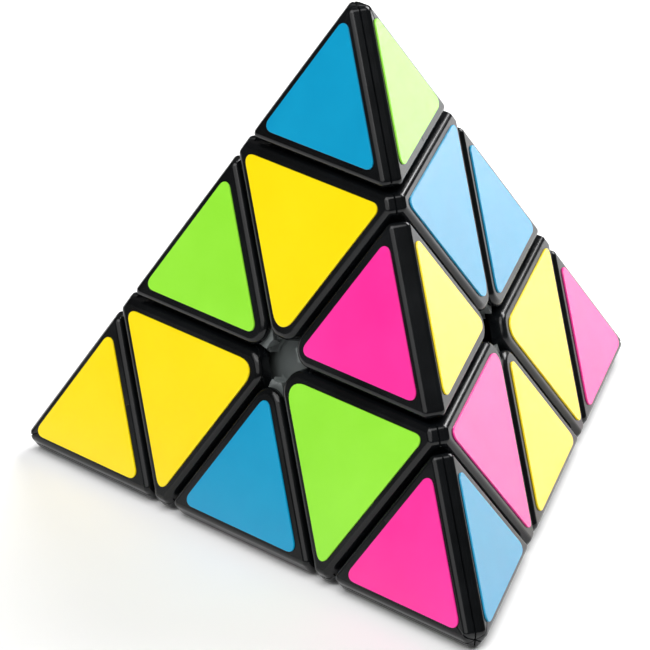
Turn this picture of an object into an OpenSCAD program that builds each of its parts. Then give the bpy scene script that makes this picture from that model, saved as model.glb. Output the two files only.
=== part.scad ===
// Pyramid twisty puzzle, in millimetres.
// Four corner layers turn about a ball core, and each corner carries a tip that turns by itself.
// The origin is the middle of the core, where the four turning axes meet. +Z points at the top
// corner, and the front corner lies towards -Y. Every face of the pyramid is named after its side:
// left, right, back and base.

/* [Pyramid] */
// Length of an edge of the pyramid, from sharp corner to sharp corner
edge_len = 104; // [98:1:130]
// Width of the flat strip that runs along every outer edge
ridge_flat = 2.9; // [1.5:0.1:3.5]
// Height that is cut off every sharp corner
corner_cut = 5.4; // [4.4:0.1:7]
// Radius of the round opening in the middle of every face
window_r = 3.4; // [2.5:0.1:4]
// Thickness of the plastic shells
wall = 2; // [1.2:0.1:2.4]

/* [Gaps] */
// Gap between two neighbouring layers
layer_gap = 0.5; // [0.3:0.05:0.8]
// Gap between a tip and the axial piece below it
tip_gap = 0.5; // [0.3:0.05:0.8]
// Gap between round faces that slide past each other inside
slide_gap = 0.3; // [0.2:0.05:0.5]
// Radial play of a post in its bore and of a stem in its well
turn_play = 0.08; // [0.04:0.01:0.15]
// Gap between an edge foot's plug and the shell around it
plug_gap = 0.1; // [0.05:0.05:0.3]

/* [Core] */
// Radius of the ball in the middle
core_r = 17; // [14:0.5:18]
// Radius of the four posts on the ball
post_r = 3.4; // [2.8:0.1:4.1]
// Height by which a post stands above the floor it turns in
post_rise = 2; // [1:0.5:3]

/* [Edge feet] */
// Thickness of the foot that slides on the ball
foot_thick = 1.5; // [1.2:0.05:1.8]
// Width by which the foot reaches under its neighbours
foot_hook = 1.25; // [0.8:0.05:1.5]
// Height of the neck between the foot and the shell
neck_len = 1; // [0.8:0.05:1.2]
// Height of the plug that locates the shell
plug_len = 2; // [1:0.5:3]

/* [Axial pieces] */
// Thickness of the floor that the spring presses on
floor_thick = 3.2; // [2:0.2:4]
// Radius of the well that holds the spring and the stem of the tip
well_r = 5; // [4.6:0.1:5.6]
// Thickness of the tower around the well
tower_wall = 2.2; // [1.6:0.1:2.4]
// Thickness of the ribs between tower and shell
rib_thick = 1.6; // [1:0.2:2.4]

/* [Screws and springs] */
// Radius of the screw's shank
shank_r = 1.5; // [1.2:0.1:1.8]
// Length of shank that is in the core, below the post's end
shank_grip = 12; // [8:1:14]
// Radius of the screw's head
head_r = 3.6; // [3:0.1:4]
// Height of the screw's head
head_h = 2.4; // [1.8:0.1:2.8]
// Thickness of the washer under the head
washer_thick = 0.8; // [0.5:0.1:1.2]
// Length of the fitted spring
spring_len = 5.2; // [4.2:0.1:5.6]
// Radius of the spring's wire
wire_r = 0.35; // [0.25:0.05:0.4]
// Number of turns in the spring
spring_turns = 4; // [3:1:5]

/* [Tips] */
// Gap between the end of the stem and the screw's head
stem_clear = 1.2; // [0.8:0.2:2]
// Thickness of the stem's tube
stem_wall = 1.7; // [1.2:0.1:2.2]
// Depth of the snap bead below the tip
bead_depth = 3.4; // [2.6:0.1:4]
// Height by which the bead stands out of the stem
bead_rise = 0.35; // [0.2:0.05:0.5]

/* [Stickers] */
// Thickness of a sticker
sticker_thick = 0.25; // [0.15:0.05:0.4]
// Distance from a sharp outer edge to the stickers beside it
ridge_margin = 3.4; // [3.2:0.1:4.2]
// Distance from a cut to the stickers on tips and edge pieces
cut_margin = 2.6; // [2:0.1:3.2]
// Distance from a cut to the stickers on axial pieces
axial_margin = 1.6; // [1.2:0.1:2.2]
// Corner radius of the stickers
sticker_r = 1.25; // [0.8:0.05:1.6]
// Corner radius of an axial sticker at the middle of its face
sticker_middle_r = 2.4; // [2:0.1:3]

/* [Hidden] */
$fn = 96;
height = edge_len * sqrt(2 / 3);
corner_r = height * 3 / 4;
face_r = height / 4;
layer_at = height / 12;
tip_at = height * 5 / 12;
strip_depth = ridge_flat / 2 * sqrt(2);
strip_r = edge_len / sqrt(8) - strip_depth;
// Cubes of this size stand for half of space.
span = edge_len * 2;

// The four corner directions: 0 top, 1 front, 2 right, 3 left. A face has the number of the
// corner that it lies opposite.
tilt = acos(-1 / 3);
function corner_toward(azimuth) = [sin(tilt) * cos(azimuth), sin(tilt) * sin(azimuth), -1 / 3];
CORNERS = [[0, 0, 1], corner_toward(-90), corner_toward(30), corner_toward(150)];
CORNER_NAMES = ["top", "front", "right", "left"];
FACE_NAMES = ["base", "back", "left", "right"];
PAIRS = [[0, 1], [0, 2], [0, 3], [1, 2], [1, 3], [2, 3]];
function others(used) = [for (k = [0:3]) if (len(search(k, used)) == 0) k];
function pair_name(pair) = str(CORNER_NAMES[pair[0]], "_", CORNER_NAMES[pair[1]]);
function unit(p) = p / norm(p);
function ridge_way(pair) = unit(CORNERS[pair[0]] + CORNERS[pair[1]]);

// Radii inside, from the ball outwards
foot_in = core_r + slide_gap;
foot_out = foot_in + foot_thick;
hold_r = foot_out + slide_gap;
joint_r = hold_r + neck_len;
// Half-angle of the cone inside which a layer's feet lie
foot_angle = acos((layer_at + layer_gap / 2) / hold_r) + foot_hook / hold_r * 180 / PI;
// Shifting a cone along its axis by this much moves its wall by half a sliding gap.
cone_shift = slide_gap / 2 / sin(foot_angle);

// Heights along a turning axis, from the ball outwards
end_play = 0.05;
post_root = core_r * 0.8;
floor_at = foot_in + floor_thick;
post_end = floor_at + post_rise;
washer_at = floor_at + spring_len + 2 * end_play;
head_at = washer_at + washer_thick;
shank_end = post_end - shank_grip;
stem_end = head_at + head_h + stem_clear;
bead_at = tip_at - bead_depth;
stem_r = well_r - turn_play;
tower_r = well_r + tower_wall;
tower_root = foot_in / 2;
// The bead is a ring of round section, sunk into the stem by bead_sink.
bead_sink = 0.25;
bead_r = bead_rise + bead_sink;

// Sticker colours by piece and face: base, back, left, right
BLUE = "#00A0D2";
GREEN = "#98E83A";
YELLOW = "#FFE000";
PINK = "#FF2FA3";
BLACK = "#15171A";
STEEL = "#B9BDC2";
TIP_COLOURS = [
    ["", YELLOW, BLUE, GREEN],
    [GREEN, "", PINK, BLUE],
    [YELLOW, GREEN, "", PINK],
    [BLUE, PINK, YELLOW, ""]];
AXIAL_COLOURS = [
    ["", GREEN, YELLOW, BLUE],
    [BLUE, "", GREEN, PINK],
    [GREEN, PINK, "", YELLOW],
    [BLUE, PINK, YELLOW, ""]];
EDGE_COLOURS = [
    ["", "", PINK, YELLOW],
    ["", GREEN, "", BLUE],
    ["", PINK, GREEN, ""],
    [GREEN, "", "", YELLOW],
    [PINK, "", BLUE, ""],
    [YELLOW, BLUE, "", ""]];

// ---- Places and half-spaces ----

// Turns +Z into the direction v.
module toward(v) {
    rotate([0, acos(v.z), atan2(v.y, v.x)]) children();
}

// All that lies further out than a plane at distance d along v
module beyond(v, d) {
    toward(v) translate([-span / 2, -span / 2, d]) cube(span);
}

// All that lies nearer than a plane at distance d along v
module short_of(v, d) {
    toward(v) translate([-span / 2, -span / 2, d - span]) cube(span);
}

// The pyramid with its flat ridges and cut corners, made smaller by inset on every side
module pyramid(inset) {
    intersection() {
        short_of(-CORNERS[0], face_r - inset);
        short_of(-CORNERS[1], face_r - inset);
        short_of(-CORNERS[2], face_r - inset);
        short_of(-CORNERS[3], face_r - inset);
        block_without_ridges(inset);
        block_without_corners(inset);
    }
}

// A block without the strips that are cut off along the six ridges
module block_without_ridges(inset) {
    difference() {
        cube(span, center = true);
        for (pair = PAIRS) beyond(ridge_way(pair), strip_r - inset);
    }
}

// A block without the four corners
module block_without_corners(inset) {
    difference() {
        cube(span, center = true);
        for (v = CORNERS) beyond(v, corner_r - corner_cut - inset);
    }
}

// A round opening in the middle of every face, down to the ball
module windows(radius) {
    for (v = CORNERS) toward(-v) translate([0, 0, core_r]) cylinder(h = edge_len, r = radius);
}

module shell_between(inner_r, outer_r) {
    difference() {
        sphere(outer_r);
        sphere(inner_r);
    }
}

// The cone about v that holds a layer's feet, moved out along v by shift
module foot_cone(v, shift) {
    reach = edge_len;
    toward(v) translate([0, 0, shift]) cylinder(h = reach, r1 = 0, r2 = reach * tan(foot_angle));
}

// ---- Cells: the space of one piece, made smaller by inset on every side ----

module tip_cell(k, inset) {
    intersection() {
        pyramid(inset);
        beyond(CORNERS[k], tip_at + tip_gap / 2 + inset);
    }
}

module axial_cell(k, inset) {
    intersection() {
        pyramid(inset);
        beyond(CORNERS[k], layer_at + layer_gap / 2 + inset);
        short_of(CORNERS[k], tip_at - tip_gap / 2 - inset);
        block_without_other_layers(k, inset);
    }
}

// A block without the three layers of the corners other than k
module block_without_other_layers(k, inset) {
    difference() {
        cube(span, center = true);
        for (n = others([k])) beyond(CORNERS[n], layer_at - layer_gap / 2 - inset);
    }
}

module edge_cell(pair, inset) {
    intersection() {
        pyramid(inset);
        beyond(CORNERS[pair[0]], layer_at + layer_gap / 2 + inset);
        beyond(CORNERS[pair[1]], layer_at + layer_gap / 2 + inset);
    }
}

// ---- Core ----

// The ball with its four posts, each with a hole for its screw
module core() {
    color(BLACK) difference() {
        union() {
            sphere(core_r);
            for (v = CORNERS) toward(v) translate([0, 0, post_root])
                cylinder(h = post_end - post_root, r = post_r);
        }
        for (v = CORNERS) toward(v) translate([0, 0, shank_end])
            cylinder(h = shank_grip + 1, r = shank_r);
    }
}

// A screw with a cross recess, half as deep as its head
module core_screw() {
    slot_wide = head_r * 0.3;
    slot_long = head_r * 1.2;
    difference() {
        union() {
            translate([0, 0, shank_end]) cylinder(h = head_at - shank_end + 1, r = shank_r);
            translate([0, 0, head_at]) cylinder(h = head_h, r = head_r);
        }
        for (turn = [0, 90]) translate([0, 0, head_at + head_h]) rotate(turn)
            cube([slot_long, slot_wide, head_h], center = true);
    }
}

module core_screws() {
    color(STEEL) for (v = CORNERS) toward(v) core_screw();
}

module core_washers() {
    bore_r = shank_r + slide_gap / 2;
    rim_r = well_r - slide_gap;
    color(STEEL) for (v = CORNERS) toward(v) translate([0, 0, washer_at]) difference() {
        cylinder(h = washer_thick, r = rim_r);
        translate([0, 0, -1]) cylinder(h = washer_thick + 2, r = bore_r);
    }
}

// A helix of round wire: rings of SIDES points, joined ring by ring
SIDES = 8;
STEPS = 12;
coil_r = (post_r + well_r) / 2;
function wire_point(step, side) =
    let (
        turn = 360 * step / STEPS,
        around = 360 * side / SIDES,
        out = coil_r + wire_r * cos(around),
        rise = (spring_len - 2 * wire_r) * step / (STEPS * spring_turns))
    [out * cos(turn), out * sin(turn), wire_r + rise + wire_r * sin(around)];

module spring() {
    last = STEPS * spring_turns;
    points = [for (step = [0:last], side = [0:SIDES - 1]) wire_point(step, side)];
    sides = [for (step = [0:last - 1], side = [0:SIDES - 1])
        let (a = step * SIDES + side, b = step * SIDES + (side + 1) % SIDES)
        [a, a + SIDES, b + SIDES, b]];
    start_cap = [for (side = [0:SIDES - 1]) side];
    end_cap = [for (side = [SIDES - 1:-1:0]) last * SIDES + side];
    polyhedron(points, concat(sides, [start_cap, end_cap]));
}

module core_springs() {
    color(STEEL) for (v = CORNERS) toward(v) translate([0, 0, floor_at + end_play]) spring();
}

// ---- Tips ----

// The ring that snaps into the tower's groove, or with grow above 0 the groove itself
module bead(grow) {
    translate([0, 0, bead_at]) rotate_extrude()
        translate([stem_r - bead_sink, 0]) circle(bead_r + grow);
}

// A hollow tip with a tubular stem that turns in the axial piece's well
module tip(k) {
    under = tip_at + tip_gap / 2;
    color(BLACK) difference() {
        union() {
            difference() {
                tip_cell(k, 0);
                tip_cell(k, wall);
            }
            toward(CORNERS[k]) translate([0, 0, stem_end])
                cylinder(h = under + wall - stem_end, r = stem_r);
            toward(CORNERS[k]) bead(0);
        }
        toward(CORNERS[k]) translate([0, 0, stem_end - 1])
            cylinder(h = under + wall - stem_end + 2, r = stem_r - stem_wall);
    }
}

// ---- Axial pieces ----

// A hollow shell around a tower, which turns on the core's post and holds spring and tip
module axial(k) {
    color(BLACK) difference() {
        union() {
            difference() {
                axial_cell(k, 0);
                axial_cell(k, wall);
                sphere(hold_r);
            }
            toward(CORNERS[k]) translate([0, 0, tower_root])
                cylinder(h = tip_at - tip_gap / 2 - tower_root, r = tower_r);
            axial_ribs(k);
        }
        sphere(foot_in);
        toward(CORNERS[k]) cylinder(h = tip_at, r = post_r + turn_play);
        toward(CORNERS[k]) translate([0, 0, floor_at]) cylinder(h = tip_at, r = well_r);
        toward(CORNERS[k]) bead(turn_play);
        windows(window_r);
    }
}

// Three ribs from the tower to the walls beside the neighbouring layers
module axial_ribs(k) {
    intersection() {
        axial_cell(k, wall / 2);
        for (n = others([k])) rib_between(CORNERS[k], CORNERS[n]);
        beyond(CORNERS[k], joint_r);
    }
}

// A plate through the axis of a, on b's side of it
module rib_between(a, b) {
    sideways = unit(cross(a, b));
    outward = unit(cross(sideways, a));
    intersection() {
        beyond(sideways, -rib_thick / 2);
        short_of(sideways, rib_thick / 2);
        beyond(outward, 0);
    }
}

// ---- Edge pieces ----

// The outer shell, hollow and open towards the core
module edge_shell(pair) {
    color(BLACK) difference() {
        edge_cell(pair, 0);
        edge_cell(pair, wall);
        sphere(joint_r);
        windows(window_r);
    }
}

// The foot that slides on the ball under its neighbours, with its neck and the shell's plug
module edge_foot(pair) {
    color(BLACK) difference() {
        union() {
            foot_pad(pair);
            intersection() {
                edge_cell(pair, 0);
                shell_between(foot_out - foot_thick / 2, joint_r);
            }
            intersection() {
                edge_cell(pair, wall + plug_gap);
                shell_between(joint_r - neck_len / 2, joint_r + plug_len);
            }
        }
        windows(window_r);
    }
}

// The part of the ball's outer skin that lies in both layers and in no third one
module foot_pad(pair) {
    difference() {
        intersection() {
            shell_between(foot_in, foot_out);
            foot_cone(CORNERS[pair[0]], cone_shift);
            foot_cone(CORNERS[pair[1]], cone_shift);
        }
        for (n = others(pair)) foot_cone(CORNERS[n], -cone_shift);
        windows(window_r + slide_gap);
    }
}

// ---- Stickers ----

// Where the sharp pyramid's corners and the middle of a face are
function corner_at(k) = CORNERS[k] * corner_r;
function third_way(k, n) = corner_at(k) + (corner_at(n) - corner_at(k)) / 3;
function face_middle(face) = -CORNERS[face] * face_r;

// A point's two coordinates in the plane across n
function in_plane(p, n) =
    let (polar = acos(n.z), azimuth = atan2(n.y, n.x))
    [p * [cos(polar) * cos(azimuth), cos(polar) * sin(azimuth), -sin(polar)],
     p * [-sin(azimuth), cos(azimuth), 0]];

// Corner i of a triangle whose sides are moved inwards. margins[i] is for the side from i to i + 1.
function moved_corner(t, margins, i) =
    let (next = (i + 1) % 3, last = (i + 2) % 3)
    t[i] + (margins[i] * unit(t[last] - t[i]) + margins[last] * unit(t[next] - t[i])) / sin(60);

// A triangular plate with round corners
module round_triangle(t, radii, thick) {
    tangents = [for (i = [0:2]) each [
        t[i] + unit(t[(i + 2) % 3] - t[i]) * radii[i] / tan(30),
        t[i] + unit(t[(i + 1) % 3] - t[i]) * radii[i] / tan(30)]];
    linear_extrude(height = thick) polygon(tangents);
    for (i = [0:2]) {
        middle = (t[(i + 1) % 3] + t[(i + 2) % 3]) / 2;
        translate(t[i] + unit(middle - t[i]) * radii[i] * 2) cylinder(h = thick, r = radii[i]);
    }
}

// A sticker on a face, from its cell's three corners in space
module sticker(face, cell, margins, radii, colour) {
    n = -CORNERS[face];
    flat = [for (p = cell) in_plane(p, n)];
    outline = [for (i = [0:2]) moved_corner(flat, margins, i)];
    color(colour) toward(n) translate([0, 0, face_r]) round_triangle(outline, radii, sticker_thick);
}

// The two corners of a face other than k
function beside(face, k) = others([face, k]);

module tip_sticker(k, face) {
    sides = beside(face, k);
    cell = [corner_at(k), third_way(k, sides[0]), third_way(k, sides[1])];
    margins = [ridge_margin, cut_margin, ridge_margin];
    sticker(face, cell, margins, [sticker_r, sticker_r, sticker_r], TIP_COLOURS[k][face]);
}

module axial_sticker(k, face) {
    sides = beside(face, k);
    cell = [third_way(k, sides[0]), third_way(k, sides[1]), face_middle(face)];
    margins = [axial_margin, axial_margin, axial_margin];
    sticker(face, cell, margins, [sticker_r, sticker_r, sticker_middle_r], AXIAL_COLOURS[k][face]);
}

module edge_sticker(p, face) {
    pair = PAIRS[p];
    cell = [third_way(pair[0], pair[1]), third_way(pair[1], pair[0]), face_middle(face)];
    margins = [ridge_margin, cut_margin, cut_margin];
    sticker(face, cell, margins, [sticker_r, sticker_r, sticker_r], EDGE_COLOURS[p][face]);
}

// ---- Nodes ----

function tip_name(k) = str("tip_", CORNER_NAMES[k]);
function axial_name(k) = str("axial_", CORNER_NAMES[k]);
function shell_name(p) = str("edge_shell_", pair_name(PAIRS[p]));
function foot_name(p) = str("edge_foot_", pair_name(PAIRS[p]));
function tip_sticker_name(k, face) = str("sticker_tip_", CORNER_NAMES[k], "_on_", FACE_NAMES[face]);
function axial_sticker_name(k, face) = str("sticker_axial_", CORNER_NAMES[k], "_on_", FACE_NAMES[face]);
function edge_sticker_name(p, face) =
    str("sticker_edge_", pair_name(PAIRS[p]), "_on_", FACE_NAMES[face]);

core();
core_screws();
core_washers();
core_springs();
for (k = [0:3]) {
    tip(k);
    axial(k);
    for (face = others([k])) {
        tip_sticker(k, face);
        axial_sticker(k, face);
    }
}
for (p = [0:5]) {
    edge_shell(PAIRS[p]);
    edge_foot(PAIRS[p]);
    for (face = others(PAIRS[p]))
        edge_sticker(p, face);
}
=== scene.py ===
# %% [markdown]
# # A pyramid twisty puzzle
# The puzzle is a regular pyramid with four triangular faces. Four corner layers turn about a
# ball in the middle, and each corner carries a small tip that turns by itself. The exact CAD
# model comes in first and stays where it is: every finer piece made below takes a CAD node's
# place, in metres, and rides on the same body.

# %% Load the frame
import math

import bmesh
import bpy
from mathutils import Matrix, Quaternion, Vector


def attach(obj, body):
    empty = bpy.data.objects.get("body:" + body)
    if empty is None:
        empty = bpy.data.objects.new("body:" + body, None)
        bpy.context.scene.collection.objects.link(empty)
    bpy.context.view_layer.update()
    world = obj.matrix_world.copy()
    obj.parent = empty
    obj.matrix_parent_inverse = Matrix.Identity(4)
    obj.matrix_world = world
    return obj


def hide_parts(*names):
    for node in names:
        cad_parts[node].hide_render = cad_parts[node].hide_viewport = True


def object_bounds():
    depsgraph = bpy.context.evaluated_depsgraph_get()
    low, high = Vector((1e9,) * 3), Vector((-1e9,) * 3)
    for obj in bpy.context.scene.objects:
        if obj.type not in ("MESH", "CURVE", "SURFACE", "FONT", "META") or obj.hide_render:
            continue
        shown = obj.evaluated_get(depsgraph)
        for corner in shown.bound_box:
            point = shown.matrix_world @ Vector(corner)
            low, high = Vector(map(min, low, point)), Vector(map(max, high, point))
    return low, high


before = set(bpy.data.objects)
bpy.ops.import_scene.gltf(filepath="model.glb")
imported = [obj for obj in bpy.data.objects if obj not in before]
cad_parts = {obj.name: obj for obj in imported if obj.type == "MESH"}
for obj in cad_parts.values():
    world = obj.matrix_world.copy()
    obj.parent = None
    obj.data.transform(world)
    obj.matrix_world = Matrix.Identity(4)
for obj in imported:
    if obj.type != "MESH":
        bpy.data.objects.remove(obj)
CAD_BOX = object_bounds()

MM = 0.001
# Points closer than this count as one, and a normal this close to a direction lies along it.
SAME_POINT = 1e-7
ALONG = 0.9999
print("CAD box in mm:", [[round(x / MM, 2) for x in corner] for corner in CAD_BOX])

# %% [markdown]
# ## The pyramid's own measures
# The origin is where the four turning axes meet. Every plane that bounds a piece is square to
# one of the four corner directions, or to a ridge direction halfway between two of them, so a
# direction and a distance are enough to place each cut.

# %% Directions and distances
EDGE_LENGTH = 104 * MM
HEIGHT = EDGE_LENGTH * math.sqrt(2 / 3)
CORNER_RADIUS = HEIGHT * 3 / 4
FACE_RADIUS = HEIGHT / 4
LAYER_AT = HEIGHT / 12
TIP_AT = HEIGHT * 5 / 12
HALF_GAP = 0.25 * MM
RIDGE_CUT = 2.9 * MM
CORNER_CUT = 5.4 * MM
RIDGE_AT = EDGE_LENGTH / math.sqrt(8) - RIDGE_CUT / math.sqrt(2)
BLUNT_AT = CORNER_RADIUS - CORNER_CUT


def corner_toward(azimuth):
    """A corner direction of the regular pyramid, at a compass angle below the top one."""
    flat = math.sqrt(8) / 3
    angle = math.radians(azimuth)
    return Vector((flat * math.cos(angle), flat * math.sin(angle), -1 / 3))


CORNERS = [Vector((0, 0, 1)), corner_toward(-90), corner_toward(30), corner_toward(150)]
CORNER_NAMES = ["top", "front", "right", "left"]
# A face lies opposite a corner, and has the same number.
FACE_NAMES = ["base", "back", "left", "right"]
PAIRS = [(0, 1), (0, 2), (0, 3), (1, 2), (1, 3), (2, 3)]
print("height in mm:", round(HEIGHT / MM, 2))


# %% [markdown]
# ## The camera
# It stands far off with a long lens, so that the ridges run almost parallel, and looks down on
# the front corner from a little to its left. It is placed first, so that every later step can
# be judged through it.

# %% Camera
VIEW_AZIMUTH, VIEW_ELEVATION, VIEW_ROLL = -13.93, 27.0, -2.34
VIEW_DISTANCE = 0.77346
VIEW_AIM = Vector((-5.91, 3.81, 4.46)) * MM
SENSOR_WIDTH, LENS_LENGTH = 36.0, 280.7


def direction(azimuth, elevation):
    """The way from the object to a point seen at these angles, in degrees."""
    a, e = math.radians(azimuth), math.radians(elevation)
    return Vector((math.sin(a) * math.cos(e), -math.cos(a) * math.cos(e), math.sin(e)))


backwards = direction(VIEW_AZIMUTH, VIEW_ELEVATION)
lens = bpy.data.cameras.new("studio_camera")
lens.sensor_width, lens.lens = SENSOR_WIDTH, LENS_LENGTH
lens.clip_start, lens.clip_end = 0.05, 20
camera = bpy.data.objects.new("studio_camera", lens)
bpy.context.scene.collection.objects.link(camera)
camera.location = VIEW_AIM + backwards * VIEW_DISTANCE
level = (-backwards).to_track_quat("-Z", "Y")
camera.rotation_mode = "QUATERNION"
camera.rotation_quaternion = level @ Quaternion((0, 0, 1), math.radians(VIEW_ROLL))
bpy.context.scene.camera = camera
print("camera at", [round(x, 3) for x in camera.location])

# %% [markdown]
# ## Tools for shaping by hand
# Each block of the puzzle could be typed in as a list of points, but it is easier to think of it
# as a whole pyramid that is sawn down. Bisect with Fill is that saw: it cuts along a plane, throws
# the outer part away and closes the cut. Everything is deselected first, because an operator
# works on all that is selected.


# %% Selecting and sawing
def select_none():
    """Leaves edit mode and deselects every object."""
    if bpy.context.mode != "OBJECT":
        bpy.ops.object.mode_set(mode="OBJECT")
    bpy.ops.object.select_all(action="DESELECT")


def pick(piece):
    """Makes piece the only selected object, and the active one."""
    select_none()
    piece.select_set(True)
    bpy.context.view_layer.objects.active = piece
    return piece


def edit(piece, mode="FACE"):
    """Opens piece in edit mode with nothing selected."""
    pick(piece)
    bpy.ops.object.mode_set(mode="EDIT")
    bpy.ops.mesh.select_mode(type=mode)
    bpy.ops.mesh.select_all(action="DESELECT")


def select_where(piece, kind, test):
    """In edit mode, selects the verts, edges or faces whose geometry passes the test."""
    shape = bmesh.from_edit_mesh(piece.data)
    chosen = [item for item in getattr(shape, kind) if test(item)]
    for item in chosen:
        item.select_set(True)
    shape.select_flush_mode()
    bmesh.update_edit_mesh(piece.data)
    return len(chosen)


def saw(direction_out, distance):
    """Cuts off all that lies further out than distance, and closes the cut."""
    bpy.ops.mesh.select_all(action="SELECT")
    bpy.ops.mesh.bisect(
        plane_co=direction_out * distance,
        plane_no=direction_out,
        use_fill=True,
        clear_outer=True,
        threshold=SAME_POINT,
    )


def finish_modifiers(piece):
    """Applies every modifier on piece, in order."""
    pick(piece)
    for modifier in list(piece.modifiers):
        bpy.ops.object.modifier_apply(modifier=modifier.name)


# %% [markdown]
# ## The blocks
# A tip, an axial piece and an edge piece are all parts of one sharp pyramid. The pyramid is a
# cone primitive with three sides. Its ridges and its corners are sawn off flat first, then the
# planes between the layers cut out the one block that is wanted. Two kinds of corner get a wide
# curve, sawn in steps: an edge piece's inner ridge, and the axial piece's blunt lower ends.


# %% The whole pyramid and its cuts
WINDOW = 3.4 * MM
EDGE_CURVE = 3.2 * MM
END_CURVE = 2.6 * MM
END_STEPS = 5
CURVE_STEPS = 10


def whole_pyramid(name, inset=0.0):
    """A pyramid with flat ridges and blunt corners, smaller by inset on every side."""
    select_none()
    low = -FACE_RADIUS + inset
    high = CORNER_RADIUS - 3 * inset
    bpy.ops.mesh.primitive_cone_add(
        vertices=3,
        radius1=(high - low) / math.sqrt(2),
        radius2=0,
        depth=high - low,
        location=(0, 0, (high + low) / 2),
        rotation=(0, 0, math.pi),
    )
    piece = bpy.context.active_object
    piece.name = name
    bpy.ops.object.transform_apply(location=True, rotation=True, scale=True)
    edit(piece)
    for a, b in PAIRS:
        saw((CORNERS[a] + CORNERS[b]).normalized(), RIDGE_AT - inset)
    for corner in CORNERS:
        saw(corner, BLUNT_AT - inset)
    return piece


def tip_block(name, inset=0.0):
    """The top corner, above the cut between a tip and its axial piece."""
    piece = whole_pyramid(name, inset)
    saw(-CORNERS[0], -(TIP_AT + HALF_GAP + inset))
    return piece


def round_between(first, first_at, second, second_at, curve, inset, steps):
    """Saws the edge between two flats round, about a line that lies curve inside both."""
    overlap = first.dot(second)
    a = (first_at - curve - overlap * (second_at - curve)) / (1 - overlap**2)
    b = (second_at - curve - overlap * (first_at - curve)) / (1 - overlap**2)
    centre = first * a + second * b
    for step in range(1, steps):
        way = first.slerp(second, step / steps)
        saw(way, way.dot(centre) + curve - inset)


def axial_block(name, inset=0.0):
    """The block under the top tip, between the four layers' planes, blunt at its lower ends."""
    piece = whole_pyramid(name, inset)
    saw(-CORNERS[0], -(LAYER_AT + HALF_GAP + inset))
    saw(CORNERS[0], TIP_AT - HALF_GAP - inset)
    level = LAYER_AT - HALF_GAP
    for corner in CORNERS[1:]:
        saw(corner, level - inset)
        inwards = -(CORNERS[0] + corner / 3).normalized()
        saw(inwards, -(WINDOW + inset))
        for wall in (c for c in CORNERS[1:] if c is not corner):
            round_between(inwards, -WINDOW, wall, level, END_CURVE, inset, END_STEPS)
    return piece


def edge_block(name, inset=0.0):
    """The block between the top and the front corner's axial pieces."""
    piece = whole_pyramid(name, inset)
    for corner in CORNERS[:2]:
        saw(-corner, -(LAYER_AT + HALF_GAP + inset))
    level = -(LAYER_AT + HALF_GAP)
    round_between(
        -CORNERS[0], level, -CORNERS[1], level, EDGE_CURVE, inset, CURVE_STEPS
    )
    return piece


# %% [markdown]
# ## Rounded corners and edges
# The real shells are injection moulded, and every outer edge and corner is rounded by about a
# millimetre, which gives the soft bright lines along them. A bevel would do this, but it
# clamps at the tiny facets near the blunt corners. A rounded block is also a smaller block with
# a ball rolled all round it. So a ball is set on every corner of the smaller block, a convex
# hull is stretched over all of them, and the triangles that lie in one flat are dissolved.

# %% Rounding
BALL_FINENESS = 4
FLAT_ANGLE = math.radians(0.4)


def rounded(maker, name, radius):
    """The block that maker makes, with every edge and corner rounded to radius."""
    small = maker("smaller_block", radius)
    select_none()
    corners = [v.co.copy() for v in small.data.vertices]
    bpy.data.objects.remove(small)
    bpy.ops.mesh.primitive_ico_sphere_add(
        subdivisions=BALL_FINENESS, radius=radius, location=corners[0]
    )
    piece = bpy.context.active_object
    piece.name = name
    bpy.ops.object.transform_apply(location=True, rotation=True, scale=True)
    edit(piece)
    for corner in corners[1:]:
        bpy.ops.mesh.primitive_ico_sphere_add(
            subdivisions=BALL_FINENESS, radius=radius, location=corner
        )
    bpy.ops.mesh.select_all(action="SELECT")
    bpy.ops.mesh.convex_hull()
    bpy.ops.mesh.select_all(action="SELECT")
    bpy.ops.mesh.dissolve_limited(angle_limit=FLAT_ANGLE)
    select_none()
    print(name, "rounded over", len(corners), "corners:", len(piece.data.polygons), "faces")
    edit(piece)
    return piece


# %% [markdown]
# ## Ledges in the side walls
# The walls that face each other across a gap aren't plain on the real pieces: each has a
# shallow sunk panel with a narrow rim, left by the mould, that shows as a step in the gaps. An
# inset makes the rim, and a second, tiny inset with a depth makes the step.

# %% Sinking a panel
RIM = 0.5 * MM
STEP_WIDTH = 0.12 * MM
STEP_DEPTH = 0.35 * MM


def sink_panel(piece, normal):
    """Sinks a panel into the largest face that looks along normal."""
    bpy.ops.mesh.select_all(action="DESELECT")
    shape = bmesh.from_edit_mesh(piece.data)
    walls = [f for f in shape.faces if f.normal.dot(normal) > ALONG]
    max(walls, key=lambda f: f.calc_area()).select_set(True)
    bmesh.update_edit_mesh(piece.data)
    bpy.ops.mesh.inset(thickness=RIM, depth=0)
    bpy.ops.mesh.inset(thickness=STEP_WIDTH, depth=-STEP_DEPTH)


# %% [markdown]
# ## Parting lines
# The shells are closed from moulded parts, whose joints run along the middle of the ridges. They
# show on a tip's ridges and on the small flats of an axial piece. Each is a real groove here:
# three saw cuts side by side, and the middle one pushed in, so it stays thin and dark.

# %% Cutting a groove
SEAM_HALF_WIDTH = 0.13 * MM
SEAM_DEPTH = 0.2 * MM


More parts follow.
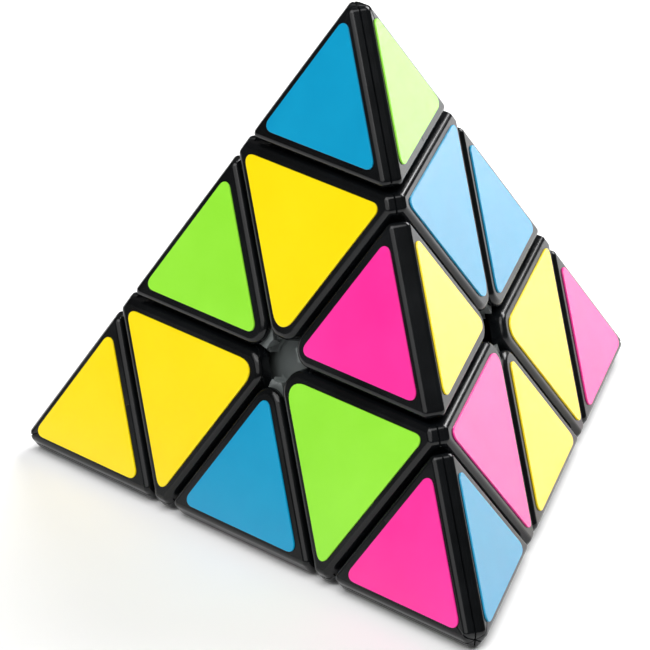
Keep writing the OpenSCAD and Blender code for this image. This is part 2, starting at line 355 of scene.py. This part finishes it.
def seam_along_ridge(piece, ridge_corner, is_near):
    """Grooves the ridge from the top to ridge_corner, over the points that pass is_near."""
    sideways = CORNERS[0].cross(ridge_corner).normalized()
    for offset in (-SEAM_HALF_WIDTH, 0, SEAM_HALF_WIDTH):
        bpy.ops.mesh.select_all(action="DESELECT")
        select_where(piece, "faces", lambda f: any(is_near(v.co) for v in f.verts))
        bpy.ops.mesh.bisect(
            plane_co=sideways * offset, plane_no=sideways, threshold=SAME_POINT
        )
    bpy.ops.mesh.select_all(action="DESELECT")
    bpy.ops.mesh.select_mode(type="VERT")
    found = select_where(
        piece,
        "verts",
        lambda v: abs(v.co.dot(sideways)) < SAME_POINT and is_near(v.co),
    )
    bpy.ops.transform.shrink_fatten(value=-SEAM_DEPTH)
    bpy.ops.mesh.select_mode(type="FACE")
    return found


def near_ridge(ridge_corner, depth, lowest=0.0):
    """A test for points no deeper than depth under the flat of a ridge, and above lowest."""
    outwards = (CORNERS[0] + ridge_corner).normalized()
    return lambda p: p.dot(outwards) > RIDGE_AT - depth and p.dot(CORNERS[0]) > lowest


# %% [markdown]
# ## Smooth shading that keeps flats flat
# With plain smooth shading the light would run from a rounded edge right across the flat face
# beside it. Weighted normals let the big faces decide, so that flats reflect like flats and
# only the narrow curves bend the light.


# %% Shading
SMOOTH_UNDER = math.radians(38)


def shade(piece):
    """Smooths the curves of piece and keeps its flats flat."""
    pick(piece)
    bpy.ops.object.shade_smooth_by_angle(angle=SMOOTH_UNDER)
    weights = piece.modifiers.new("flats", "WEIGHTED_NORMAL")
    weights.keep_sharp = True
    weights.weight = 100
    finish_modifiers(piece)


# %% [markdown]
# ## The tip
# The tip is the small pyramid at a corner. Below it hangs a hollow stem that snaps into the
# axial piece and lets the tip turn. The stem is a cylinder joined to the block, and a second,
# thinner cylinder bores it out.

# %% Turned parts
STEM_RADIUS, STEM_BORE = 4.92 * MM, 3.22 * MM
STEM_END = 30.2 * MM


def drum(name, radius, low, high, sides=96):
    """A round solid about the vertical axis, used to build and to bore."""
    select_none()
    bpy.ops.mesh.primitive_cylinder_add(
        vertices=sides,
        radius=radius,
        depth=high - low,
        location=(0, 0, (high + low) / 2),
    )
    piece = bpy.context.active_object
    piece.name = name
    bpy.ops.object.transform_apply(location=True, rotation=True, scale=True)
    return piece


def ball(name, radius):
    """A fine ball about the origin, used to hollow the shells."""
    select_none()
    bpy.ops.mesh.primitive_uv_sphere_add(segments=96, ring_count=48, radius=radius)
    piece = bpy.context.active_object
    piece.name = name
    return piece


def carve(piece, tool, operation="DIFFERENCE"):
    """Cuts tool out of piece, or adds it, and throws the tool away."""
    pick(piece)
    boolean = piece.modifiers.new("carve", "BOOLEAN")
    boolean.operation, boolean.object, boolean.solver = operation, tool, "EXACT"
    finish_modifiers(piece)
    bpy.data.objects.remove(tool)


# %% Make one tip
ROUNDING = 1.0 * MM
TIP_SEAM_DEPTH = 5 * MM
TIP_SEAM_LOWEST = TIP_AT + 1.2 * MM
STEM_ROOT, BORE_ROOT = TIP_AT + 2 * MM, TIP_AT + 4 * MM
OVERSHOOT = 1 * MM

tip = rounded(tip_block, "tip_model", ROUNDING)
sink_panel(tip, -CORNERS[0])
grooved = [
    seam_along_ridge(tip, c, near_ridge(c, TIP_SEAM_DEPTH, TIP_SEAM_LOWEST))
    for c in CORNERS[1:]
]
select_none()
carve(tip, drum("stem", STEM_RADIUS, STEM_END, STEM_ROOT), "UNION")
carve(tip, drum("bore", STEM_BORE, STEM_END - OVERSHOOT, BORE_ROOT))
shade(tip)
print("tip:", len(tip.data.polygons), "faces, groove points:", grooved)

# %% [markdown]
# ## The axial piece
# It fills the layer under the tip, and three of its flats carry stickers. Its lower side is
# hollowed to run on the ball and over the feet of the edge pieces, and a tower inside holds the
# spring, the screw and the tip's stem.

# %% Make one axial piece
HOLD_RADIUS, FOOT_ROOM = 19.1 * MM, 17.3 * MM
TOWER_RADIUS, WELL_RADIUS, POST_ROOM = 7.2 * MM, 5.0 * MM, 3.48 * MM
FLOOR_AT = 20.5 * MM
TOWER_FOOT, TOWER_HEAD = 14 * MM, TIP_AT - 2 * MM
POST_BORE_FOOT = 10 * MM
FACET_SEAM_DEPTH = 0.9 * MM

axial = rounded(axial_block, "axial_model", ROUNDING)
for wall in (-CORNERS[0], CORNERS[0], CORNERS[1], CORNERS[2], CORNERS[3]):
    sink_panel(axial, wall)
grooved = [
    seam_along_ridge(axial, c, near_ridge(c, FACET_SEAM_DEPTH)) for c in CORNERS[1:]
]
select_none()
carve(axial, ball("hollow", HOLD_RADIUS))
carve(axial, drum("tower", TOWER_RADIUS, TOWER_FOOT, TOWER_HEAD), "UNION")
carve(axial, ball("clearance", FOOT_ROOM))
carve(axial, drum("bore", POST_ROOM, POST_BORE_FOOT, FLOOR_AT + OVERSHOOT))
carve(axial, drum("well", WELL_RADIUS, FLOOR_AT, TIP_AT + OVERSHOOT))
shade(axial)
print("axial piece:", len(axial.data.polygons), "faces, groove points:", grooved)

# %% [markdown]
# ## The edge piece
# The edge piece is a shell over a separate foot, and the foot stays as the CAD made it. The
# shell is the same block twice: once at full size, and once smaller by the wall's thickness,
# which is cut out of it together with the ball.

# %% Make one edge piece
WALL = 2 * MM
JOINT_RADIUS = 20.1 * MM

edge = rounded(edge_block, "edge_model", ROUNDING)
for wall in (-CORNERS[0], -CORNERS[1]):
    sink_panel(edge, wall)
inner = edge_block("inside", WALL)
select_none()
carve(edge, inner)
carve(edge, ball("hollow", JOINT_RADIUS))
shade(edge)
print("edge piece:", len(edge.data.polygons), "faces")

# %% [markdown]
# ## Stickers
# Each sticker is a thick film punched out with round corners. A triangle is laid flat on the
# face, its corners are rounded with a vertex bevel, it is extruded to the film's thickness, and
# its upper rim gets a fine bevel, which catches the light as the real cut edge does.

# %% Cut one sticker of each kind
FILM = 0.25 * MM
FILM_RIM = 0.07 * MM
STICKER_RADIUS, MIDDLE_RADIUS = 1.25 * MM, 2.4 * MM
RIDGE_MARGIN, CUT_MARGIN, AXIAL_MARGIN = 3.4 * MM, 2.6 * MM, 1.6 * MM
REFERENCE_FACE = 2
SAME_CORNER = 1e-6


def third_way(a, b):
    """The point a third of the way from one sharp corner to another."""
    return (CORNERS[a] * 2 + CORNERS[b]) * CORNER_RADIUS / 3


def sticker(name, cell, margins, radii):
    """A film inside a cell's three corners. margins[i] is for the side from i to i + 1."""
    outwards = -CORNERS[REFERENCE_FACE]
    corners = []
    for i in range(3):
        to_last = (cell[(i + 2) % 3] - cell[i]).normalized()
        to_next = (cell[(i + 1) % 3] - cell[i]).normalized()
        shift = margins[i] * to_last + margins[(i + 2) % 3] * to_next
        corners.append(cell[i] + shift / math.sin(math.pi / 3))
    select_none()
    bpy.ops.mesh.primitive_circle_add(vertices=3, radius=0.01, fill_type="NGON")
    piece = bpy.context.active_object
    piece.name = name
    for vertex, corner in zip(piece.data.vertices, corners):
        vertex.co = corner
    edit(piece, "VERT")
    for corner, radius in zip(corners, radii):
        bpy.ops.mesh.select_all(action="DESELECT")
        select_where(piece, "verts", lambda v: (v.co - corner).length < SAME_CORNER)
        bpy.ops.mesh.bevel(
            offset=radius / math.tan(math.pi / 6), segments=8, affect="VERTICES"
        )
    bpy.ops.mesh.select_mode(type="FACE")
    bpy.ops.mesh.select_all(action="SELECT")
    bpy.ops.mesh.extrude_region_move(
        TRANSFORM_OT_translate={"value": outwards * FILM}
    )
    bpy.ops.mesh.select_all(action="SELECT")
    bpy.ops.mesh.normals_make_consistent(inside=False)
    bpy.ops.mesh.select_all(action="DESELECT")
    top = FACE_RADIUS + FILM
    bpy.ops.mesh.select_mode(type="EDGE")
    select_where(
        piece,
        "edges",
        lambda e: all(abs(v.co.dot(outwards) - top) < SAME_CORNER for v in e.verts),
    )
    bpy.ops.mesh.bevel(offset=FILM_RIM, segments=2, affect="EDGES")
    shade(piece)
    return piece


middle = -CORNERS[REFERENCE_FACE] * FACE_RADIUS
tip_film = sticker(
    "tip_film_model",
    [CORNERS[0] * CORNER_RADIUS, third_way(0, 1), third_way(0, 3)],
    [RIDGE_MARGIN, CUT_MARGIN, RIDGE_MARGIN],
    [STICKER_RADIUS] * 3,
)
axial_film = sticker(
    "axial_film_model",
    [third_way(0, 1), third_way(0, 3), middle],
    [AXIAL_MARGIN] * 3,
    [STICKER_RADIUS, STICKER_RADIUS, MIDDLE_RADIUS],
)
edge_film = sticker(
    "edge_film_model",
    [third_way(0, 1), third_way(1, 0), middle],
    [RIDGE_MARGIN, CUT_MARGIN, CUT_MARGIN],
    [STICKER_RADIUS] * 3,
)
print("films:", [len(f.data.polygons) for f in (tip_film, axial_film, edge_film)])

# %% [markdown]
# ## Materials
# Colours are written as hex values, as on a colour card, and one function turns them into the
# linear values that the renderer works with. One small function adds a node, with its settings
# and its links, so that each material below reads as a short list.


# %% Colour and node helpers
def colour(code):
    """A hex colour as linear red, green and blue, with full opacity."""
    shares = [int(code[i : i + 2], 16) / 255 for i in (1, 3, 5)]
    linear = [s / 12.92 if s <= 0.04045 else ((s + 0.055) / 1.055) ** 2.4 for s in shares]
    return (*linear, 1.0)


def add_node(tree, kind, inputs=None, **settings):
    """Adds a node. Each input is a value, or an output socket of another node."""
    made = tree.nodes.new(kind)
    for name, value in settings.items():
        setattr(made, name, value)
    for name, value in (inputs or {}).items():
        if isinstance(value, bpy.types.NodeSocket):
            tree.links.new(value, made.inputs[name])
        else:
            made.inputs[name].default_value = value
    return made


def new_material(name, **shader_values):
    """A material with its shader, and a texture coordinate node on the object's own place."""
    material = bpy.data.materials.new(name)
    material.use_nodes = True
    tree = material.node_tree
    shader = tree.nodes["Principled BSDF"]
    for socket, value in shader_values.items():
        shader.inputs[socket.replace("_", " ")].default_value = value
    place = add_node(tree, "ShaderNodeTexCoord").outputs["Object"]
    return material, tree, shader, place


def two_tone(tree, factor, dark, light):
    """A colour between two hex colours, led by a texture."""
    mix = add_node(tree, "ShaderNodeMix", {"Factor": factor}, data_type="RGBA")
    mix.inputs[6].default_value = colour(dark)
    mix.inputs[7].default_value = colour(light)
    return mix.outputs[2]


def between(tree, value, low, high, start=0.0, end=1.0):
    """A texture's value, spread from low to high."""
    return add_node(
        tree,
        "ShaderNodeMapRange",
        {"Value": value, "From Min": start, "From Max": end, "To Min": low, "To Max": high},
    ).outputs["Result"]


# %% [markdown]
# ### Gloss black ABS
# The shells are moulded in polished steel moulds from black ABS, a plastic with an IOR near
# 1.54. What the eye sees is a deep black with sharp reflections that wave slightly, because the
# skin shrinks a little as it cools, and that are dulled in patches by handling. Edges that rub
# on each other are a touch paler.

# %% Shell plastic
WAVE_SCALE = 1 / (6 * MM)
SMUDGE_SCALE = 1 / (14 * MM)
GRAIN_SCALE = 1 / (0.25 * MM)


def moulded_plastic(name, dark, light, rough_low, rough_high, wave, grain):
    """A moulded plastic. wave and grain are the depths of its waves and its fine grain."""
    material, tree, shader, place = new_material(name, IOR=1.54, Specular_IOR_Level=0.3)
    smudge = add_node(
        tree,
        "ShaderNodeTexNoise",
        {"Vector": place, "Scale": SMUDGE_SCALE, "Detail": 3.0, "Roughness": 0.6},
    ).outputs["Fac"]
    waves = add_node(
        tree,
        "ShaderNodeTexNoise",
        {"Vector": place, "Scale": WAVE_SCALE, "Detail": 1.0},
    ).outputs["Fac"]
    fine = add_node(
        tree,
        "ShaderNodeTexNoise",
        {"Vector": place, "Scale": GRAIN_SCALE, "Detail": 2.0},
    ).outputs["Fac"]
    worn = between(
        tree, add_node(tree, "ShaderNodeNewGeometry").outputs["Pointiness"], 0, 1, 0.52, 0.62
    )
    patches = between(tree, smudge, 0, 0.5, 0.35, 0.7)
    amount = add_node(tree, "ShaderNodeMath", operation="ADD", use_clamp=True)
    tree.links.new(patches, amount.inputs[0])
    tree.links.new(worn, amount.inputs[1])
    tree.links.new(two_tone(tree, amount.outputs[0], dark, light), shader.inputs["Base Color"])
    tree.links.new(
        between(tree, smudge, rough_low, rough_high, 0.3, 0.75), shader.inputs["Roughness"]
    )
    coarse = add_node(
        tree, "ShaderNodeBump", {"Height": waves, "Strength": 1.0, "Distance": wave}
    ).outputs["Normal"]
    tree.links.new(
        add_node(
            tree,
            "ShaderNodeBump",
            {"Height": fine, "Normal": coarse, "Strength": 0.3, "Distance": grain},
        ).outputs["Normal"],
        shader.inputs["Normal"],
    )
    return material


gloss_abs = moulded_plastic(
    "gloss_black_moulded_abs", "#070809", "#111417", 0.13, 0.27, 0.02 * MM, 0.002 * MM
)
# The ball and the feet are a slippery dark grey acetal, matt from a spark-eroded mould. Their
# greys here are lighter than that dark grey: painted light that stands in for the light the ball
# reflects in the openings.
acetal_with_painted_light = moulded_plastic(
    "dark_acetal_lightened_as_painted_reflection", "#5C6160", "#6B706F", 0.28, 0.4, 0.02 * MM, 0.006 * MM
)
print("plastics:", gloss_abs.name, acetal_with_painted_light.name)

# %% [markdown]
# ### Vinyl films
# The stickers are bright PVC film with a clear, glossy face. The colour is even but for a trace
# of cloudiness, and the film lies on the plastic with a faint orange peel, so that reflections
# in it are soft at the edges. A weak coat on the shader is the clear layer.

# %% Sticker films
PEEL_SCALE = 1 / (2.2 * MM)
CLOUD_SCALE = 1 / (9 * MM)


def vinyl_film(name, deep, bright):
    """A glossy film, with its colour clouded between two tones."""
    material, tree, shader, place = new_material(
        name, IOR=1.5, Coat_Weight=0.3, Coat_Roughness=0.08, Coat_IOR=1.5
    )
    cloud = add_node(
        tree,
        "ShaderNodeTexNoise",
        {"Vector": place, "Scale": CLOUD_SCALE, "Detail": 3.0},
    ).outputs["Fac"]
    peel = add_node(
        tree,
        "ShaderNodeTexNoise",
        {"Vector": place, "Scale": PEEL_SCALE, "Detail": 2.0},
    ).outputs["Fac"]
    tree.links.new(two_tone(tree, cloud, deep, bright), shader.inputs["Base Color"])
    tree.links.new(between(tree, cloud, 0.14, 0.26), shader.inputs["Roughness"])
    tree.links.new(
        add_node(
            tree, "ShaderNodeBump", {"Height": peel, "Strength": 0.6, "Distance": 0.01 * MM}
        ).outputs["Normal"],
        shader.inputs["Normal"],
    )
    return material


FILMS = {
    "blue": vinyl_film("sky_blue_vinyl_film", "#008FBE", "#009FCC"),
    "green": vinyl_film("leaf_green_vinyl_film", "#8EE22E", "#9EF040"),
    "yellow": vinyl_film("yellow_vinyl_film", "#FFDC00", "#FFE600"),
    "pink": vinyl_film("rose_pink_vinyl_film", "#FF2696", "#FF36A6"),
}
print("films:", ", ".join(m.name for m in FILMS.values()))

# %% [markdown]
# ### Metals
# The screws and washers are steel with a thin zinc plating, which is pale and slightly cloudy.
# The springs are bare drawn wire, which is darker and has a finer cloud.


# %% Metals
def plated_metal(name, dark, light, rough_low, rough_high, scale):
    """A metal, clouded between two tones. scale sets the size of the clouds."""
    material, tree, shader, place = new_material(name, Metallic=1.0)
    cloud = add_node(
        tree,
        "ShaderNodeTexNoise",
        {"Vector": place, "Scale": scale, "Detail": 4.0},
    ).outputs["Fac"]
    tree.links.new(two_tone(tree, cloud, dark, light), shader.inputs["Base Color"])
    tree.links.new(between(tree, cloud, rough_low, rough_high), shader.inputs["Roughness"])
    tree.links.new(
        add_node(
            tree, "ShaderNodeBump", {"Height": cloud, "Strength": 0.3, "Distance": 0.01 * MM}
        ).outputs["Normal"],
        shader.inputs["Normal"],
    )
    return material


zinc_steel = plated_metal(
    "zinc_plated_steel", "#A9AEB4", "#D2D6DA", 0.22, 0.4, 1 / (1.5 * MM)
)
spring_steel = plated_metal(
    "drawn_spring_steel", "#6E7074", "#9A9CA0", 0.25, 0.45, 1 / (0.6 * MM)
)
print("metals:", zinc_steel.name, spring_steel.name)

# %% [markdown]
# ## Setting the pieces in place
# The pyramid looks the same after any turn that carries its corners onto one another. So a copy
# of a model goes to its place by the turn that carries the top corner, and one face, to where
# they are wanted. Each copy gets its own mesh, and keeps its place in that mesh.


# %% Copies
def turn_to(targets):
    """The turn that carries corner i onto corner targets[i], for i from 0 to 3."""
    start = Matrix([CORNERS[i] for i in range(3)]).transposed()
    end = Matrix([CORNERS[targets[i]] for i in range(3)]).transposed()
    return (end @ start.inverted()).to_4x4()


def is_turn(targets):
    """True if the carrying is a turn and not a mirror image."""
    swaps = sum(targets[i] > targets[j] for i in range(4) for j in range(i + 1, 4))
    return swaps % 2 == 0


def places(**wanted):
    """The first turn that sends each numbered corner where it is wanted."""
    fixed = {int(name[1:]): value for name, value in wanted.items()}
    rest = [k for k in range(4) if k not in fixed.values()]
    free = [k for k in range(4) if k not in fixed]
    for order in (rest, rest[::-1], rest[1:] + rest[:1]):
        targets = [0] * 4
        for k, value in [*fixed.items(), *zip(free, order)]:
            targets[k] = value
        if is_turn(targets):
            return turn_to(targets)


def set_copy(model, name, turn, material, body, node):
    """A copy of model, turned to its place, with its finish, body and CAD node."""
    select_none()
    piece = model.copy()
    piece.data = model.data.copy()
    piece.name = piece.data.name = name
    bpy.context.scene.collection.objects.link(piece)
    pick(piece)
    piece.matrix_world = turn
    bpy.ops.object.transform_apply(location=True, rotation=True, scale=True)
    piece.data.materials.clear()
    piece.data.materials.append(material)
    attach(piece, body)
    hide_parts(node)


# %% [markdown]
# ## The colour scheme
# Each face has nine stickers, and the puzzle is shown scrambled. One letter stands for a
# colour: B blue, G green, Y yellow and P pink. A row is a piece, and its four letters are for
# the faces base, back, left and right, with a dot where the piece has no sticker.

# %% Place everything
LETTERS = {"B": "blue", "G": "green", "Y": "yellow", "P": "pink"}
TIP_COLOURS = [".YBG", "G.PB", "YG.P", "BPY."]
AXIAL_COLOURS = [".GYB", "B.GP", "GP.Y", "BPY."]
EDGE_COLOURS = ["..PY", ".G.B", ".PG.", "G..Y", "P.B.", "YB.."]

placed = 0
for k, corner_name in enumerate(CORNER_NAMES):
    for kind, model in (("tip", tip), ("axial", axial)):
        body = f"{kind}_{corner_name}"
        shell = f"{kind}_shell_{corner_name}"
        set_copy(model, shell, places(k0=k), gloss_abs, body, body)
    for face in (f for f in range(4) if f != k):
        turn = places(k0=k, k2=face)
        for kind, model, table in (
            ("tip", tip_film, TIP_COLOURS),
            ("axial", axial_film, AXIAL_COLOURS),
        ):
            tint = LETTERS[table[k][face]]
            where = f"{kind}_{corner_name}_on_{FACE_NAMES[face]}"
            set_copy(
                model, f"film_{where}", turn, FILMS[tint],
                f"{kind}_{corner_name}", f"sticker_{where}",
            )
            placed += 1
for p, (a, b) in enumerate(PAIRS):
    pair = f"{CORNER_NAMES[a]}_{CORNER_NAMES[b]}"
    set_copy(
        edge, f"edge_cap_{pair}", places(k0=a, k1=b), gloss_abs,
        f"edge_{pair}", f"edge_shell_{pair}",
    )
    for face in (f for f in range(4) if f not in (a, b)):
        other = next(f for f in range(4) if f not in (a, b, face))
        ends = (a, b) if is_turn([a, b, face, other]) else (b, a)
        tint = LETTERS[EDGE_COLOURS[p][face]]
        where = f"edge_{pair}_on_{FACE_NAMES[face]}"
        set_copy(
            edge_film, f"film_{where}", turn_to([*ends, face, other]), FILMS[tint],
            f"edge_{pair}", f"sticker_{where}",
        )
        placed += 1
for model in (tip, axial, edge, tip_film, axial_film, edge_film):
    bpy.data.objects.remove(model)
print("stickers placed:", placed)

# %% [markdown]
# ## What stays from the CAD
# The ball, the feet, the screws, the washers and the springs are exact already, so they keep
# their CAD shapes and only get their finish.

# %% Finish for the CAD nodes
INSIDE_FINISH = {
    "core": acetal_with_painted_light,
    "core_screws": zinc_steel,
    "core_washers": zinc_steel,
    "core_springs": spring_steel,
}
finished = 0
for name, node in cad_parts.items():
    finish = INSIDE_FINISH.get(name, acetal_with_painted_light if name.startswith("edge_foot") else None)
    if finish:
        node.data.materials.clear()
        node.data.materials.append(finish)
        finished += 1
print("CAD nodes with a new finish:", finished)

# %% [markdown]
# ## Floor and light
# The puzzle stands on a plain pale floor. A broad soft light hangs overhead and a larger one
# stands to the left and in front. The third hangs low over the floor, behind and to the right:
# the right face mirrors that bright patch of floor, and gets its pale sheen from it.

# %% Floor
FLOOR_AT_Z = CAD_BOX[0].z
FLOOR_SIZE = 6.0
FLOOR_DROP = 0.05 * MM
FIBRE_SCALE = 1 / (30 * MM)

select_none()
bpy.ops.mesh.primitive_plane_add(size=FLOOR_SIZE, location=(0, 0, FLOOR_AT_Z - FLOOR_DROP))
floor = bpy.context.active_object
floor.name = "pale_floor"
paper, tree, shader, place = new_material("matt_white_paper", Roughness=0.8)
fibre = add_node(
    tree, "ShaderNodeTexNoise", {"Vector": place, "Scale": FIBRE_SCALE, "Detail": 2.0}
).outputs["Fac"]
tree.links.new(two_tone(tree, fibre, "#F4F4F4", "#F8F8F8"), shader.inputs["Base Color"])
floor.data.materials.append(paper)


# %% Lights
def soft_light(name, azimuth, elevation, distance, width, height, power, aim=(0, 0, 0)):
    """A soft rectangular light that looks at the puzzle, or at aim."""
    data = bpy.data.lights.new(name, "AREA")
    data.shape, data.size, data.size_y, data.energy = "RECTANGLE", width, height, power
    light = bpy.data.objects.new(name, data)
    bpy.context.scene.collection.objects.link(light)
    away = direction(azimuth, elevation)
    light.location = Vector(aim) + away * distance
    light.rotation_mode = "QUATERNION"
    light.rotation_quaternion = away.to_track_quat("Z", "Y")


BEHIND_RIGHT = 120.8
WORLD_STRENGTH = 0.08

soft_light("softbox_overhead", -30, 72, 1.1, 1.0, 1.0, 9.2)
soft_light("softbox_left_front", -45, 45, 1.2, 1.3, 1.3, 7.8)
far_floor = direction(BEHIND_RIGHT, 0) * 0.46
soft_light("softbox_right_rear", BEHIND_RIGHT, 80, 0.4, 0.4, 0.4, 5.8, far_floor)
world = bpy.data.worlds.new("studio")
bpy.context.scene.world = world
world.use_nodes = True
background = world.node_tree.nodes["Background"]
background.inputs["Color"].default_value = colour("#FFFFFF")
background.inputs["Strength"].default_value = WORLD_STRENGTH
bpy.context.scene.view_settings.view_transform = "Standard"
